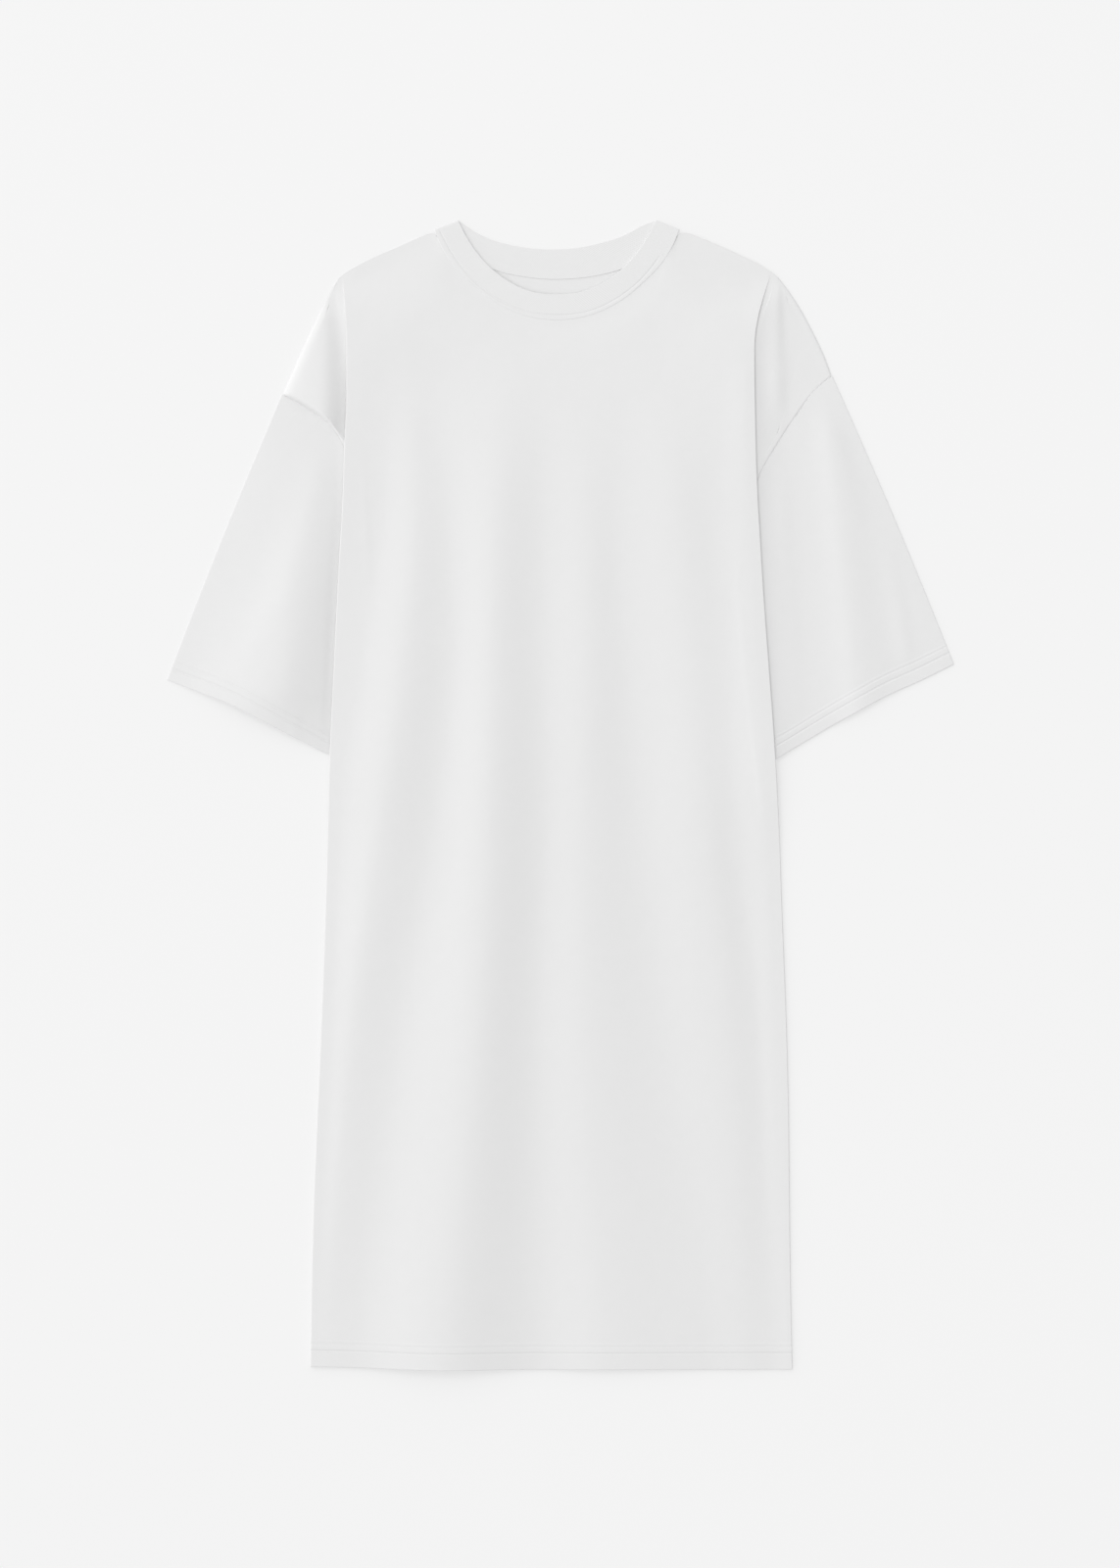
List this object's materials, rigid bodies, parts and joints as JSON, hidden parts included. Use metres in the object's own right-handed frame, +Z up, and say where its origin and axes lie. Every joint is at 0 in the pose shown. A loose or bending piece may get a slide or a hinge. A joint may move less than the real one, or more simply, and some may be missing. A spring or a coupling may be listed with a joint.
{
  "type": "t-shirt dress",
  "caption": "Plain off-white jersey T-shirt dress with dropped short sleeves and a ribbed crew neck, lying flat on its back with the sleeves swung down beside the body.",
  "frame": {"origin": "middle of the garment's plan outline, on the surface that it lies on", "axes": "+X across, to the right of someone who looks down at the front with the neck away from them; +Y from the hem to the neck; +Z up from the surface"},
  "size_m": [0.7354, 1.072, 0.0085],
  "materials": {
    "jersey": "matt cotton jersey, off-white",
    "rib_knit": "matt fine cotton rib, off-white"
  },
  "bodies": {
    "root": {"front_panel": "jersey", "back_panel": "jersey", "sleeve_left": "jersey", "sleeve_right": "jersey", "collar": "rib_knit"}
  },
  "joints": []
}
